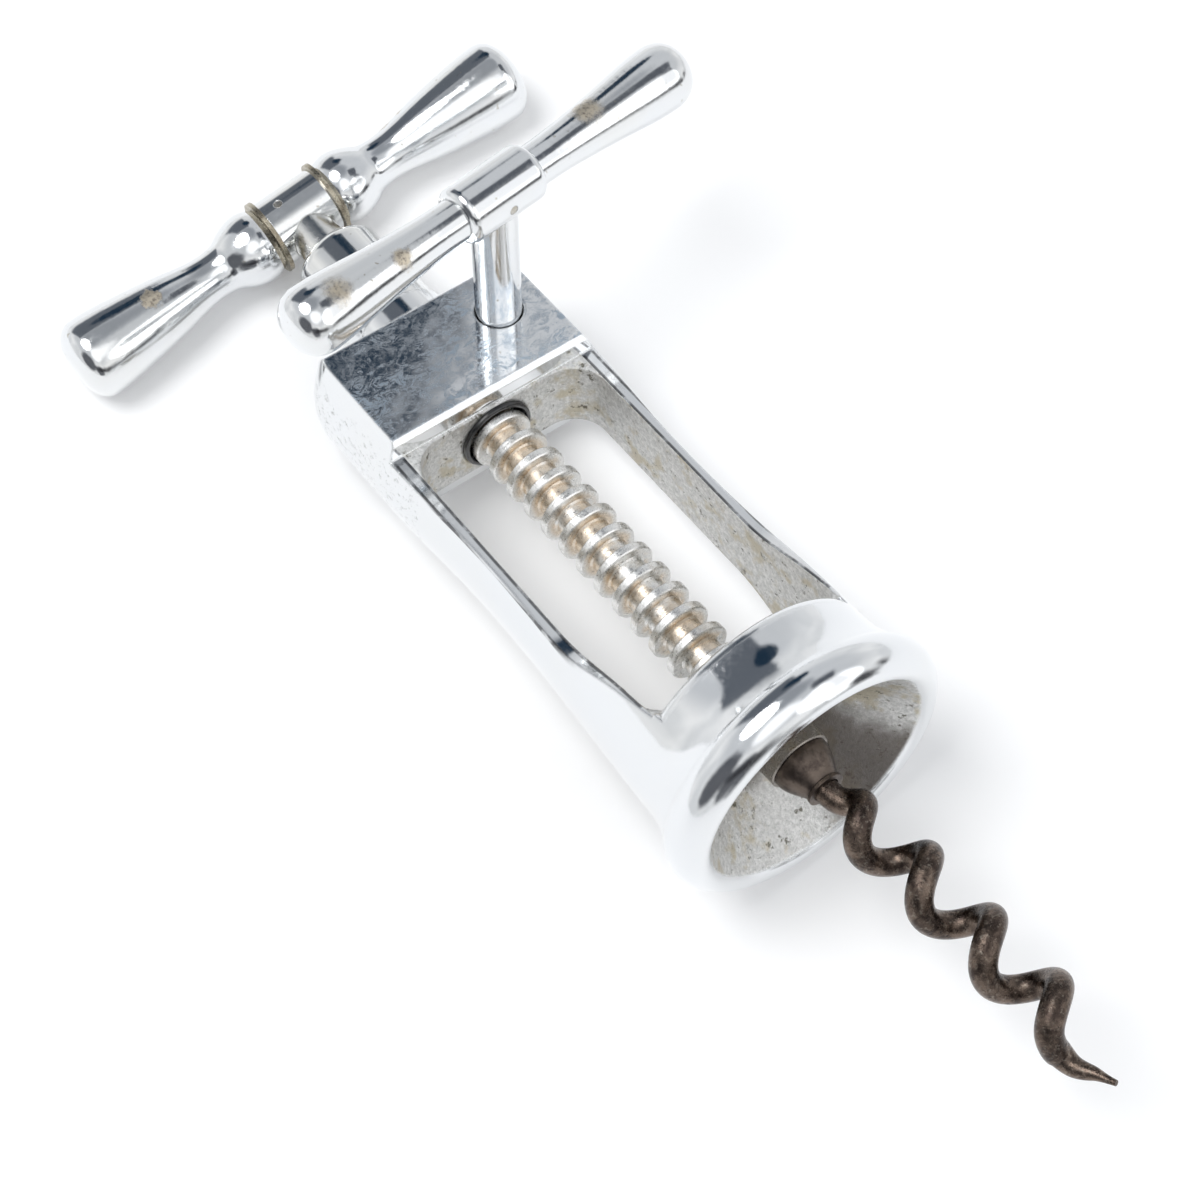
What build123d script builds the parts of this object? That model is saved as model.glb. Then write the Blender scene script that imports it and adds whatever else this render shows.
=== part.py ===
from build123d import *
import math
import os

# Lever corkscrew of the rack and pinion kind, in millimetres.
# +X runs along the worm towards its tip, +Y along the T-handle, +Z out of the face the lever stands on.
# The origin is the centre of the bell's mouth, on the worm's axis.
# Turning the lever turns an eight-tooth pinion, which draws the grooved spindle and the cork up.
# The spindle's grooves are rings, so the T-handle can also spin it to drive the worm in.

# Bell
MOUTH_R = 15.5
MOUTH_X = -0.6
LIP_R = 19.3
LIP_X = -2.8
BELL_R = 16.9
BELL_TOP_X = -14.0
BELL_TOP_ROUND = 1.5
RIM_HALF_ANGLE = 53
ROOF_INNER_X = -11.2
ROOF_INNER_R = 8.6
ROOF_HOLE_R = 6.3

# Head and pillars
HEAD_TOP_X = -84.5
HEAD_LOW_X = -65.2
HEAD_LEDGE_X = -64.4
HEAD_R = 16.4
HEAD_ROUND = 5.4
HEAD_EDGE_X = -81.2
HEAD_FRONT_Z = 7.9
HEAD_BACK_Z = -7.9
PILLAR_R = 15.8
PILLAR_FRONT_Z = 5.2
PILLAR_BACK_Z = -4.9
PILLAR_FLARE_Z = 9.6
SEAT_R = 6.6
SEAT_X = -85.3
WINDOW_TOP_X = -64.0
WINDOW_HALF_W = 13.5
WINDOW_TOP_ROUND = 4.8
WINDOW_LOW_ROUND = 2.4

# Spindle: a round bar with ring grooves that the pinion engages
BAR_R = 4.15
GROOVE_R = 2.55
RACK_PITCH = 3.63
RING_T = 1.25
RING_EDGE = 0.18
RING_COUNT = 17
RING_LOW_X = -22.33
BAR_LOW_X = -3.6
STEM_R = 3.3
STEM_START_X = -97.0
STEM_TOP_X = -112.6
GUIDE_CLEARANCE = 0.08
RACK_BORE_R = 4.75

# Collar that travels with the spindle and stops it on the head
COLLAR_R = 6.25
COLLAR_TOP_X = -101.2
COLLAR_ROUND = 2.2
CLIP_X = -89.0
CLIP_R = 4.75
CLIP_T = 0.7

# Bushes the spindle runs in
BUSH_R = 5.1
LOWER_BUSH_TOP_X = -68.4
LOWER_BUSH_LOW_X = -63.4
UPPER_BUSH_LOW_X = -81.0

# Pinion and its shaft
PINION_TEETH = 8
PINION_PITCH_R = PINION_TEETH * RACK_PITCH / (2 * math.pi)
PINION_TIP_R = 5.35
PINION_ROOT_R = 3.9
PINION_HALF_T = 4.0
TOOTH_TIP_W = 0.75
TOOTH_PITCH_W = 1.6
TOOTH_ROOT_W = 2.1
SHAFT_X = -74.8
SHAFT_Y = 8.4
SHAFT_R = 3.0
SHAFT_SEAT_R = 2.4
SHAFT_JOURNAL_R = 2.2
SHAFT_BORE_R = 3.1
CAVITY_R = 5.55
CAVITY_HALF_T = 4.6
WASHER_T = 0.5
PLUG_SLOT_W = 1.1
PLUG_SLOT_DEPTH = 0.9

# Lever on top of the shaft, lying a little askew at rest
LEVER_Z = 28.6
LEVER_TILT = 7.5
LEVER_HUB_R = 3.75
LEVER_HUB_HALF = 6.0
LEVER_NECK_R = 2.75
LEVER_GRIP_R = 4.4
LEVER_HALF = 31.8
LEVER_STUD_R = 1.25

# T-handle across the top of the spindle, turned a little at rest
HANDLE_X = -110.1
HANDLE_TURN = 10.3
HUB_R = 4.7
HUB_HALF = 4.4
RING_R = 5.3
HANDLE_RING_T = 0.6
SHOULDER_R = 5.0
HANDLE_NECK_R = 3.25
HANDLE_GRIP_R = 5.75
HANDLE_HALF = 36.4
TIE_ROD_R = 1.7
TIE_ROD_HALF = 13.0
DOWEL_R = 0.55
DOWEL_OFFSET = 1.9

# Worm and the ferrule it is fixed in
FERRULE_BIG_R = 3.75
FERRULE_SMALL_R = 2.25
FERRULE_LOW_X = 1.0
WIRE_R = 1.63
WIRE_CLEARANCE = 0.1
WORM_R = 2.64
WORM_PITCH = 10.155
WORM_PHASE = 83.0
WORM_PHASE_X = 16.5
WORM_LEAD_X = 1.2
WORM_FULL_X = 8.0
WORM_TAPER_X = 40.4
WORM_SHANK_X = -14.0
WORM_TIP_R = 0.35
WORM_LEAN = 0.035
WORM_ASIDE = 0.38
WORM_POINTS_PER_TURN = 8
# The wire straightens past the last turn: its centre on the way to the point
WORM_TIP_PATH = ((42.4, -0.15, -1.28), (44.5, 0.67, -0.57), (47.1, 1.45, 0.5))
WORM_TIP_HEADING = (2.6, 0.75, 1.2)
PIN_R = 0.6

FIT = 0.03

os.makedirs("parts", exist_ok=True)


def finish(builder, name):
    builder.part.label = name
    export_step(builder.part, f"parts/{name}.step")


# ---------------------------------------------------------------- frame casting
# The outside is turned: a lip, a flared bell and a body with round sides.
# Flats in front and behind, and the window, are cut from it.
with BuildPart() as frame_casting:
    with BuildSketch(Plane.XY) as outside:
        with BuildLine():
            Polyline((MOUTH_X, 0), (HEAD_TOP_X, 0), (HEAD_TOP_X, HEAD_R - HEAD_ROUND))
            ThreePointArc(
                (HEAD_TOP_X, HEAD_R - HEAD_ROUND),
                (HEAD_TOP_X + 0.29 * HEAD_ROUND, HEAD_R - 0.29 * HEAD_ROUND),
                (HEAD_TOP_X + HEAD_ROUND, HEAD_R),
            )
            Line((HEAD_TOP_X + HEAD_ROUND, HEAD_R), (HEAD_LOW_X, HEAD_R))
            Spline(
                (HEAD_LOW_X, HEAD_R),
                (-52.0, PILLAR_R),
                (-34.0, PILLAR_R),
                (-22.0, 16.4),
                (-12.0, BELL_R),
                tangents=((1, 0), (1, 0.03)),
            )
            Spline((-12.0, BELL_R), (-8.5, 17.25), (-5.6, 18.4), tangents=((1, 0.03), (1, 0.55)))
            ThreePointArc((-5.6, 18.4), (LIP_X, LIP_R), (-0.5, 17.9))
            ThreePointArc((-0.5, 17.9), (0, 16.6), (MOUTH_X, MOUTH_R))
            Line((MOUTH_X, MOUTH_R), (MOUTH_X, 0))
        make_face()
    revolve(axis=Axis.X)

    with BuildSketch(Plane.XZ) as side_view:
        with BuildLine():
            Polyline(
                (HEAD_EDGE_X, HEAD_FRONT_Z),
                (HEAD_LOW_X, HEAD_FRONT_Z),
                (HEAD_LEDGE_X - 0.2, HEAD_FRONT_Z - 0.7),
                (HEAD_LEDGE_X, PILLAR_FRONT_Z),
                (-32.0, PILLAR_FRONT_Z),
            )
            Spline(
                (-32.0, PILLAR_FRONT_Z),
                (-22.0, 7.6),
                (BELL_TOP_X, PILLAR_FLARE_Z),
                tangents=((1, 0), (1, 0.25)),
            )
            Line((BELL_TOP_X, PILLAR_FLARE_Z), (BELL_TOP_X, 30))
            Polyline((BELL_TOP_X, 30), (5, 30), (5, -30), (BELL_TOP_X, -30), (BELL_TOP_X, -PILLAR_FLARE_Z))
            Spline(
                (BELL_TOP_X, -PILLAR_FLARE_Z),
                (-22.0, -7.5),
                (-32.0, PILLAR_BACK_Z),
                tangents=((-1, 0.25), (-1, 0)),
            )
            Polyline(
                (-32.0, PILLAR_BACK_Z),
                (HEAD_LEDGE_X, PILLAR_BACK_Z),
                (HEAD_LEDGE_X - 0.2, HEAD_BACK_Z + 0.7),
                (HEAD_LOW_X, HEAD_BACK_Z),
                (HEAD_EDGE_X, HEAD_BACK_Z),
            )
            ThreePointArc(
                (HEAD_EDGE_X, HEAD_BACK_Z),
                (HEAD_TOP_X + 1.1, HEAD_BACK_Z + 2.4),
                (HEAD_TOP_X, -2.0),
            )
            ThreePointArc((HEAD_TOP_X, -2.0), (HEAD_TOP_X + 0.7, 3.4), (HEAD_EDGE_X, HEAD_FRONT_Z))
        make_face()
    extrude(amount=30, both=True, mode=Mode.INTERSECT)

    # Round seat for the collar on top of the head
    with BuildSketch(Plane.YZ.offset(SEAT_X)) as seat:
        Circle(SEAT_R)
    extrude(amount=8)

    # Window between the pillars
    with BuildSketch(Plane.XY) as window:
        with BuildLine():
            top_left = (WINDOW_TOP_X, -WINDOW_HALF_W)
            low_left = (BELL_TOP_X, -WINDOW_HALF_W)
            low_right = (BELL_TOP_X, WINDOW_HALF_W)
            top_right = (WINDOW_TOP_X, WINDOW_HALF_W)
            FilletPolyline(
                top_left,
                low_left,
                low_right,
                top_right,
                radius=[WINDOW_TOP_ROUND, WINDOW_LOW_ROUND, WINDOW_LOW_ROUND, WINDOW_TOP_ROUND],
                close=True,
            )
        make_face()
    extrude(amount=30, both=True, mode=Mode.SUBTRACT)

    # Rounded upper edge of the bell between the pillars, in front and behind
    for start_angle in (90 - RIM_HALF_ANGLE, 270 - RIM_HALF_ANGLE):
        with BuildSketch(Plane.XY.rotated((start_angle, 0, 0))) as bell_edge:
            with BuildLine():
                edge_r = BELL_R - 0.08
                Polyline(
                    (BELL_TOP_X, edge_r - BELL_TOP_ROUND),
                    (BELL_TOP_X - 0.5, edge_r - BELL_TOP_ROUND),
                    (BELL_TOP_X - 0.5, BELL_R + 1),
                    (BELL_TOP_X + BELL_TOP_ROUND, BELL_R + 1),
                    (BELL_TOP_X + BELL_TOP_ROUND, edge_r),
                )
                RadiusArc(
                    (BELL_TOP_X + BELL_TOP_ROUND, edge_r),
                    (BELL_TOP_X, edge_r - BELL_TOP_ROUND),
                    -BELL_TOP_ROUND,
                )
            make_face()
        revolve(axis=Axis.X, revolution_arc=2 * RIM_HALF_ANGLE, mode=Mode.SUBTRACT)

    # Bell's inside: a cone up to the roof
    with BuildSketch(Plane.XY) as bell_inside:
        with BuildLine():
            Polyline((2, 0), (2, MOUTH_R), (MOUTH_X, MOUTH_R), (ROOF_INNER_X + 1.4, ROOF_INNER_R))
            ThreePointArc(
                (ROOF_INNER_X + 1.4, ROOF_INNER_R),
                (ROOF_INNER_X + 0.35, ROOF_INNER_R - 0.9),
                (ROOF_INNER_X, ROOF_INNER_R - 1.9),
            )
            Polyline((ROOF_INNER_X, ROOF_INNER_R - 1.9), (ROOF_INNER_X, 0), (2, 0))
        make_face()
    revolve(axis=Axis.X, mode=Mode.SUBTRACT)

    # Bores on the worm's axis: roof, rack tunnel and the two bush seats
    with BuildSketch(Plane.YZ.offset(HEAD_TOP_X - 3)) as guide_bore:
        Circle(BAR_R + GUIDE_CLEARANCE)
    extrude(amount=40, mode=Mode.SUBTRACT)
    with BuildSketch(Plane.YZ.offset(BELL_TOP_X - 4)) as roof_hole:
        Circle(ROOF_HOLE_R)
    extrude(amount=10, mode=Mode.SUBTRACT)
    with BuildSketch(Plane.YZ.offset(UPPER_BUSH_LOW_X)) as rack_tunnel:
        Circle(RACK_BORE_R)
    extrude(amount=WINDOW_TOP_X - UPPER_BUSH_LOW_X + 1, mode=Mode.SUBTRACT)
    with BuildSketch(Plane.YZ.offset(SEAT_X - 1)) as upper_seat:
        Circle(BUSH_R)
    extrude(amount=UPPER_BUSH_LOW_X - SEAT_X + 1, mode=Mode.SUBTRACT)
    with BuildSketch(Plane.YZ.offset(LOWER_BUSH_TOP_X)) as lower_seat:
        Circle(BUSH_R)
    extrude(amount=WINDOW_TOP_X - LOWER_BUSH_TOP_X + 1, mode=Mode.SUBTRACT)

    # Pinion's chamber, open at the back for the bearing plug, and the shaft's hole in front
    with BuildSketch(Plane.XY.offset(CAVITY_HALF_T)) as chamber:
        with Locations((SHAFT_X, SHAFT_Y)):
            Circle(CAVITY_R)
    extrude(amount=-20, mode=Mode.SUBTRACT)
    with BuildSketch(Plane.XY) as shaft_hole:
        with Locations((SHAFT_X, SHAFT_Y)):
            Circle(SHAFT_BORE_R)
    extrude(amount=20, mode=Mode.SUBTRACT)
    hole_rim = frame_casting.edges().filter_by(GeomType.CIRCLE).filter_by_position(
        Axis.Z, HEAD_FRONT_Z - 0.01, HEAD_FRONT_Z + 0.01
    )
    chamfer(hole_rim, 0.2)
finish(frame_casting, "frame_casting")


# ---------------------------------------------------------------- bushes
with BuildPart() as upper_rack_bush:
    with BuildSketch(Plane.YZ.offset(SEAT_X)):
        Circle(BUSH_R - FIT)
        Circle(BAR_R + GUIDE_CLEARANCE, mode=Mode.SUBTRACT)
    extrude(amount=UPPER_BUSH_LOW_X - SEAT_X)
finish(upper_rack_bush, "upper_rack_bush")

with BuildPart() as lower_rack_bush:
    with BuildSketch(Plane.YZ.offset(LOWER_BUSH_TOP_X + FIT)):
        Circle(BUSH_R - FIT)
    extrude(amount=LOWER_BUSH_LOW_X - LOWER_BUSH_TOP_X - FIT)
    bush_rim = lower_rack_bush.edges().filter_by(GeomType.CIRCLE).sort_by(Axis.X)[-1]
    fillet(bush_rim, 0.35)
    with BuildSketch(Plane.YZ.offset(LOWER_BUSH_TOP_X)):
        Circle(BAR_R + GUIDE_CLEARANCE)
    extrude(amount=10, mode=Mode.SUBTRACT)
    low_circles = lower_rack_bush.edges().filter_by(GeomType.CIRCLE).group_by(Axis.X)[-1]
    bore_rim = low_circles.sort_by(SortBy.RADIUS)[0]
    chamfer(bore_rim, 0.3)
finish(lower_rack_bush, "lower_rack_bush")


# The lever's own frame: x along its bar towards +Y, z up the shaft.
lever_direction = (-math.sin(math.radians(LEVER_TILT)), math.cos(math.radians(LEVER_TILT)), 0)
lever_plane = Plane(origin=(SHAFT_X, SHAFT_Y, LEVER_Z), x_dir=lever_direction, z_dir=(0, 0, 1))
lever_axis = Axis((SHAFT_X, SHAFT_Y, LEVER_Z), lever_direction)
lever_cross = Plane(origin=(SHAFT_X, SHAFT_Y, LEVER_Z), x_dir=lever_direction, z_dir=lever_plane.y_dir)
lever_section = Plane(origin=(SHAFT_X, SHAFT_Y, LEVER_Z), x_dir=(0, 0, 1), z_dir=lever_direction)


# ---------------------------------------------------------------- pinion, its shaft and bearing
with BuildPart() as bearing_plug:
    with BuildSketch(Plane.XY.offset(HEAD_BACK_Z + 0.1)):
        with Locations((SHAFT_X, SHAFT_Y)):
            Circle(CAVITY_R - FIT)
    extrude(amount=-HEAD_BACK_Z - 0.1 - CAVITY_HALF_T)
    plug_rim = bearing_plug.edges().filter_by(GeomType.CIRCLE).sort_by(Axis.Z)[0]
    chamfer(plug_rim, 0.4)
    with BuildSketch(Plane.XY.offset(HEAD_BACK_Z + 0.1)):
        with Locations((SHAFT_X, SHAFT_Y)):
            Rectangle(2 * CAVITY_R, PLUG_SLOT_W)
    extrude(amount=PLUG_SLOT_DEPTH, mode=Mode.SUBTRACT)
    with BuildSketch(Plane.XY.offset(-CAVITY_HALF_T)):
        with Locations((SHAFT_X, SHAFT_Y)):
            Circle(SHAFT_JOURNAL_R + GUIDE_CLEARANCE)
    extrude(amount=-2.1, mode=Mode.SUBTRACT)
finish(bearing_plug, "bearing_plug")

with BuildPart() as pinion_shaft:
    shaft_steps = (
        (-CAVITY_HALF_T - 1.9, -PINION_HALF_T, SHAFT_JOURNAL_R),
        (-PINION_HALF_T, PINION_HALF_T, SHAFT_SEAT_R),
        (PINION_HALF_T, LEVER_Z + 1.2, SHAFT_R),
    )
    for low_z, high_z, radius in shaft_steps:
        with BuildSketch(Plane.XY.offset(low_z)):
            with Locations((SHAFT_X, SHAFT_Y)):
                Circle(radius)
        extrude(amount=high_z - low_z)
    with BuildSketch(Plane.YZ.offset(SHAFT_X - 5)):
        with Locations((SHAFT_Y, 0)):
            Circle(PIN_R)
    extrude(amount=10, mode=Mode.SUBTRACT)
    with BuildSketch(lever_cross):
        Circle(PIN_R)
    extrude(amount=10, both=True, mode=Mode.SUBTRACT)
finish(pinion_shaft, "pinion_shaft")

# The spindle's first groove above or below the shaft decides how the pinion is turned at rest.
first_groove_x = RING_LOW_X - RING_T - (RACK_PITCH - RING_T) / 2
groove_offset = (first_groove_x - SHAFT_X) % RACK_PITCH
tooth_start = -90 + math.degrees(groove_offset / PINION_PITCH_R)

with BuildSketch(Plane.XY) as tooth:
    with BuildLine():
        Line((PINION_ROOT_R - 0.4, -TOOTH_ROOT_W / 2), (PINION_ROOT_R - 0.4, TOOTH_ROOT_W / 2))
        ThreePointArc(
            (PINION_ROOT_R - 0.4, TOOTH_ROOT_W / 2),
            (PINION_PITCH_R, TOOTH_PITCH_W / 2),
            (PINION_TIP_R, TOOTH_TIP_W / 2),
        )
        Line((PINION_TIP_R, TOOTH_TIP_W / 2), (PINION_TIP_R, -TOOTH_TIP_W / 2))
        ThreePointArc(
            (PINION_TIP_R, -TOOTH_TIP_W / 2),
            (PINION_PITCH_R, -TOOTH_PITCH_W / 2),
            (PINION_ROOT_R - 0.4, -TOOTH_ROOT_W / 2),
        )
    make_face()

with BuildPart() as pinion_gear:
    with BuildSketch(Plane.XY.offset(-PINION_HALF_T)):
        with Locations((SHAFT_X, SHAFT_Y)):
            Circle(PINION_ROOT_R)
            with PolarLocations(0, PINION_TEETH, start_angle=tooth_start):
                add(tooth.sketch)
        with Locations((SHAFT_X, SHAFT_Y)):
            Circle(SHAFT_SEAT_R + FIT, mode=Mode.SUBTRACT)
    extrude(amount=2 * PINION_HALF_T)
    with BuildSketch(Plane.YZ.offset(SHAFT_X - PINION_TIP_R - 1)):
        with Locations((SHAFT_Y, 0)):
            Circle(PIN_R)
    extrude(amount=2 * PINION_TIP_R + 2, mode=Mode.SUBTRACT)
finish(pinion_gear, "pinion_gear")

with BuildPart() as pinion_pin:
    with BuildSketch(Plane.YZ.offset(SHAFT_X - PINION_ROOT_R + 0.3)):
        with Locations((SHAFT_Y, 0)):
            Circle(PIN_R - FIT)
    extrude(amount=2 * PINION_ROOT_R - 0.6)
finish(pinion_pin, "pinion_pin")

for name, low_z, inner_r in (
    ("pinion_front_washer", PINION_HALF_T + 0.03, SHAFT_R + FIT),
    ("pinion_rear_washer", -PINION_HALF_T - 0.03 - WASHER_T, SHAFT_JOURNAL_R + FIT),
):
    with BuildPart() as washer:
        with BuildSketch(Plane.XY.offset(low_z)):
            with Locations((SHAFT_X, SHAFT_Y)):
                Circle(PINION_ROOT_R - 0.1)
                Circle(inner_r, mode=Mode.SUBTRACT)
        extrude(amount=WASHER_T)
    finish(washer, name)


# ---------------------------------------------------------------- lever
with BuildPart() as lever_hub:
    with BuildSketch(lever_plane):
        with BuildLine():
            FilletPolyline(
                (-LEVER_HUB_HALF, 0),
                (-LEVER_HUB_HALF, LEVER_HUB_R),
                (LEVER_HUB_HALF, LEVER_HUB_R),
                (LEVER_HUB_HALF, 0),
                radius=1.1,
            )
            Line((LEVER_HUB_HALF, 0), (-LEVER_HUB_HALF, 0))
        make_face()
    revolve(axis=lever_axis)
    with BuildSketch(Plane.XY.offset(LEVER_Z + 1.2)):
        with Locations((SHAFT_X, SHAFT_Y)):
            Circle(SHAFT_R + FIT)
    extrude(amount=-10, mode=Mode.SUBTRACT)
    with BuildSketch(lever_section):
        Circle(LEVER_STUD_R + FIT)
    extrude(amount=10, both=True, mode=Mode.SUBTRACT)
    with BuildSketch(lever_cross):
        Circle(PIN_R)
    extrude(amount=10, both=True, mode=Mode.SUBTRACT)
finish(lever_hub, "lever_hub")

with BuildPart() as lever_pin:
    with BuildSketch(lever_cross):
        Circle(PIN_R - FIT)
    extrude(amount=LEVER_HUB_R - 0.05, both=True)
finish(lever_pin, "lever_pin")

for side, sign in (("left", -1), ("right", 1)):
    with BuildPart() as lever_grip:
        with BuildSketch(lever_plane):
            with BuildLine():
                grip_end = sign * LEVER_HALF
                neck_start = sign * (LEVER_HUB_HALF + 0.02)
                Polyline((grip_end, 0), (neck_start, 0), (neck_start, LEVER_NECK_R))
                Line((neck_start, LEVER_NECK_R), (sign * (LEVER_HUB_HALF + 1.2), LEVER_NECK_R))
                Spline(
                    (sign * (LEVER_HUB_HALF + 1.2), LEVER_NECK_R),
                    (sign * 13.5, 3.05),
                    (sign * 21.0, 3.8),
                    (sign * (LEVER_HALF - 4.2), LEVER_GRIP_R),
                    tangents=((sign, 0), (sign, 0.03)),
                )
                Spline(
                    (sign * (LEVER_HALF - 4.2), LEVER_GRIP_R),
                    (sign * (LEVER_HALF - 1.2), 3.55),
                    (grip_end, 0),
                    tangents=((sign, 0.03), (0, -1)),
                )
            make_face()
        revolve(axis=lever_axis)
        with BuildSketch(lever_section):
            Circle(LEVER_STUD_R + FIT)
        extrude(amount=sign * (LEVER_HUB_HALF + 6.0), mode=Mode.SUBTRACT)
    finish(lever_grip, f"lever_grip_{side}")

    with BuildPart() as lever_stud:
        stud_start = Plane(
            origin=lever_plane.from_local_coords((sign * (SHAFT_R + 0.25), 0, 0)),
            x_dir=(0, 0, 1),
            z_dir=Vector(*lever_direction) * sign,
        )
        with BuildSketch(stud_start):
            Circle(LEVER_STUD_R)
        extrude(amount=LEVER_HUB_HALF + 5.7 - SHAFT_R)
        stud_ends = lever_stud.edges().filter_by(GeomType.CIRCLE)
        chamfer(stud_ends, 0.3)
    finish(lever_stud, f"lever_stud_{side}")


# ---------------------------------------------------------------- travelling collar
with BuildPart() as stop_collar:
    with BuildSketch(Plane.XY):
        with BuildLine():
            FilletPolyline(
                (SEAT_X - 0.05, BAR_R + GUIDE_CLEARANCE),
                (SEAT_X - 0.05, COLLAR_R),
                (COLLAR_TOP_X, COLLAR_R),
                (COLLAR_TOP_X, STEM_R + GUIDE_CLEARANCE),
                radius=[0.4, COLLAR_ROUND],
            )
            Polyline(
                (COLLAR_TOP_X, STEM_R + GUIDE_CLEARANCE),
                (STEM_START_X - 0.1, STEM_R + GUIDE_CLEARANCE),
                (STEM_START_X - 0.1, BAR_R + GUIDE_CLEARANCE),
                (CLIP_X - CLIP_T / 2 - 0.08, BAR_R + GUIDE_CLEARANCE),
                (CLIP_X - CLIP_T / 2 - 0.08, CLIP_R + 0.1),
                (CLIP_X + CLIP_T / 2 + 0.08, CLIP_R + 0.1),
                (CLIP_X + CLIP_T / 2 + 0.08, BAR_R + GUIDE_CLEARANCE),
                (SEAT_X - 0.05, BAR_R + GUIDE_CLEARANCE),
            )
        make_face()
    revolve(axis=Axis.X)
finish(stop_collar, "stop_collar")

with BuildPart() as collar_clip:
    with BuildSketch(Plane.YZ.offset(CLIP_X - CLIP_T / 2)):
        Circle(CLIP_R)
        Circle(BAR_R - 0.45, mode=Mode.SUBTRACT)
        with Locations((0, CLIP_R)):
            Rectangle(2.0, 4.0, mode=Mode.SUBTRACT)
    extrude(amount=CLIP_T)
finish(collar_clip, "collar_clip")


# ---------------------------------------------------------------- spindle
handle_angle = math.radians(HANDLE_TURN)
handle_direction = (0, math.cos(handle_angle), math.sin(handle_angle))
handle_plane = Plane(origin=(HANDLE_X, 0, 0), x_dir=handle_direction, z_dir=(-1, 0, 0))
handle_axis = Axis((HANDLE_X, 0, 0), handle_direction)
handle_section = Plane(origin=(HANDLE_X, 0, 0), x_dir=(1, 0, 0), z_dir=handle_direction)
dowel_plane = Plane(
    origin=handle_plane.from_local_coords((-DOWEL_OFFSET, 0, 0)),
    x_dir=handle_direction,
    z_dir=handle_plane.y_dir if handle_plane.y_dir.Z > 0 else -handle_plane.y_dir,
)

with BuildPart() as spindle:
    with BuildSketch(Plane.XY):
        with BuildLine():
            outline = [(BAR_LOW_X, 0), (BAR_LOW_X, BAR_R - 0.15), (BAR_LOW_X - 0.15, BAR_R)]
            for ring in range(RING_COUNT + 1):
                ring_low = RING_LOW_X - ring * RACK_PITCH
                groove_low = ring_low + RACK_PITCH - RING_T
                outline.append((groove_low + RING_EDGE, BAR_R))
                outline.append((groove_low, BAR_R - RING_EDGE))
                outline.append((groove_low, GROOVE_R + 0.25))
                outline.append((groove_low - 0.25, GROOVE_R))
                outline.append((ring_low + 0.25, GROOVE_R))
                outline.append((ring_low, GROOVE_R + 0.25))
                outline.append((ring_low, BAR_R - RING_EDGE))
                outline.append((ring_low - RING_EDGE, BAR_R))
            clip_low = CLIP_X + CLIP_T / 2 + 0.03
            clip_high = CLIP_X - CLIP_T / 2 - 0.03
            outline.append((clip_low, BAR_R))
            outline.append((clip_low, BAR_R - 0.5))
            outline.append((clip_high, BAR_R - 0.5))
            outline.append((clip_high, BAR_R))
            outline.append((STEM_START_X, BAR_R))
            outline.append((STEM_START_X, STEM_R))
            outline.append((STEM_TOP_X + 0.5, STEM_R))
            outline.append((STEM_TOP_X, STEM_R - 0.5))
            outline.append((STEM_TOP_X, 0))
            Polyline(*outline, close=True)
        make_face()
    revolve(axis=Axis.X)
    with BuildSketch(handle_section):
        Circle(TIE_ROD_R + FIT)
    extrude(amount=10, both=True, mode=Mode.SUBTRACT)
    with BuildSketch(dowel_plane):
        Circle(DOWEL_R + FIT)
    extrude(amount=6, mode=Mode.SUBTRACT)
    with BuildSketch(Plane.YZ.offset(WORM_SHANK_X - 0.2)):
        Circle(WIRE_R + FIT)
    extrude(amount=20, mode=Mode.SUBTRACT)
finish(spindle, "spindle")


# ---------------------------------------------------------------- T-handle
with BuildPart() as handle_hub:
    with BuildSketch(handle_section):
        Circle(HUB_R)
    extrude(amount=HUB_HALF, both=True)
    with BuildSketch(handle_section):
        Circle(TIE_ROD_R + FIT)
    extrude(amount=10, both=True, mode=Mode.SUBTRACT)
    with BuildSketch(Plane.YZ.offset(STEM_TOP_X - 0.05)):
        Circle(STEM_R + FIT)
    extrude(amount=12, mode=Mode.SUBTRACT)
    with BuildSketch(dowel_plane):
        Circle(DOWEL_R + FIT)
    extrude(amount=6, mode=Mode.SUBTRACT)
finish(handle_hub, "handle_hub")

with BuildPart() as handle_dowel:
    with BuildSketch(dowel_plane.offset(TIE_ROD_R + 0.1)):
        Circle(DOWEL_R)
    extrude(amount=HUB_R - TIE_ROD_R - 0.2)
finish(handle_dowel, "handle_dowel")

with BuildPart() as handle_tie_rod:
    with BuildSketch(handle_section.offset(-TIE_ROD_HALF)):
        Circle(TIE_ROD_R)
    extrude(amount=2 * TIE_ROD_HALF)
    rod_ends = handle_tie_rod.edges().filter_by(GeomType.CIRCLE)
    chamfer(rod_ends, 0.4)
finish(handle_tie_rod, "handle_tie_rod")

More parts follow.
